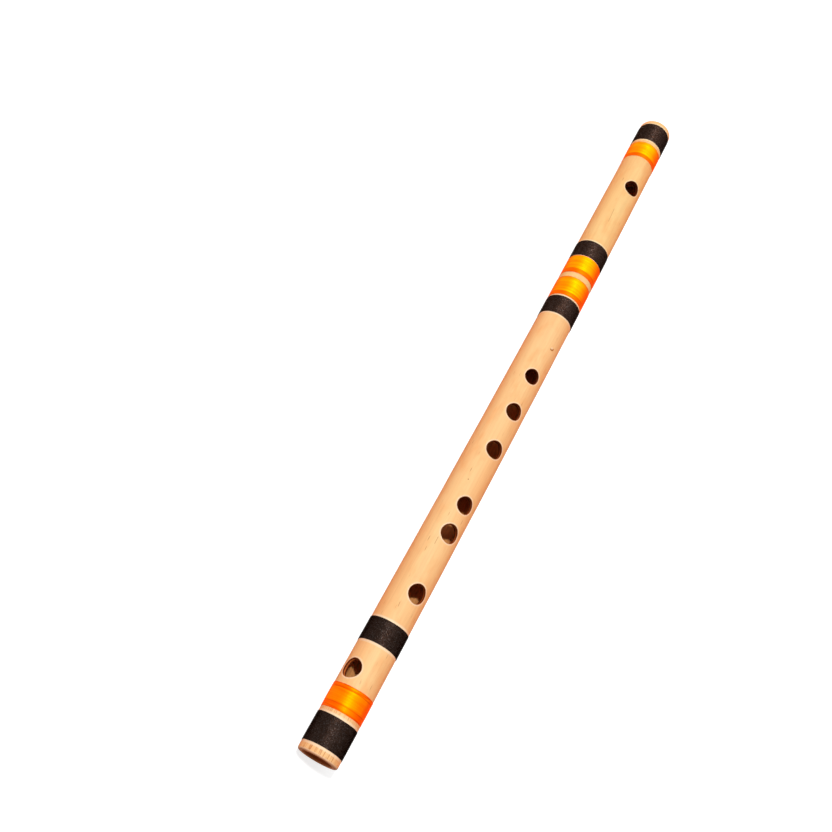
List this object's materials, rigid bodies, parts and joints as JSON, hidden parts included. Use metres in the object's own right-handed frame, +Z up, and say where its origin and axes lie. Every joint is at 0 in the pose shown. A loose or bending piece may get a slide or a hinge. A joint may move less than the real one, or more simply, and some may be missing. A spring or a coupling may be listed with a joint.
{
  "type": "bansuri flute",
  "caption": "Side-blown bamboo flute: a hollow tube with a blow hole, finger holes and a side tuning hole, cotton and silk thread bindings, and a sliding cork stopper.",
  "frame": {"origin": "on the surface that the flute lies on, under the middle of its length", "axes": "+X along the tube from the foot to the blowing end, +Z up through the finger holes, +Y towards the side tuning hole"},
  "size_m": [0.48, 0.0239, 0.023],
  "materials": {
    "bamboo": "sanded and thinly varnished, satin, with a fine lengthwise grain and burnt hole walls",
    "cork": "raw cork, matt",
    "black_cotton": "fine waxed cotton thread, close wound",
    "orange_silk": "glossy silk thread, close wound"
  },
  "bodies": {
    "flute": {"bamboo_tube": "bamboo", "foot_cotton_binding": "black_cotton", "foot_silk_binding": "orange_silk", "low_cotton_binding": "black_cotton", "middle_lower_cotton_binding": "black_cotton", "middle_lower_silk_binding": "orange_silk", "middle_upper_silk_binding": "orange_silk", "middle_upper_cotton_binding": "black_cotton", "head_silk_binding": "orange_silk", "head_cotton_binding": "black_cotton"},
    "stopper": {"cork_stopper": "cork"}
  },
  "joints": [
    {"name": "stopper_slide", "type": "slide", "parent": "flute", "child": "stopper", "axis": [1, 0.0075, 0], "range_m": [-0.005, 0.005]}
  ]
}
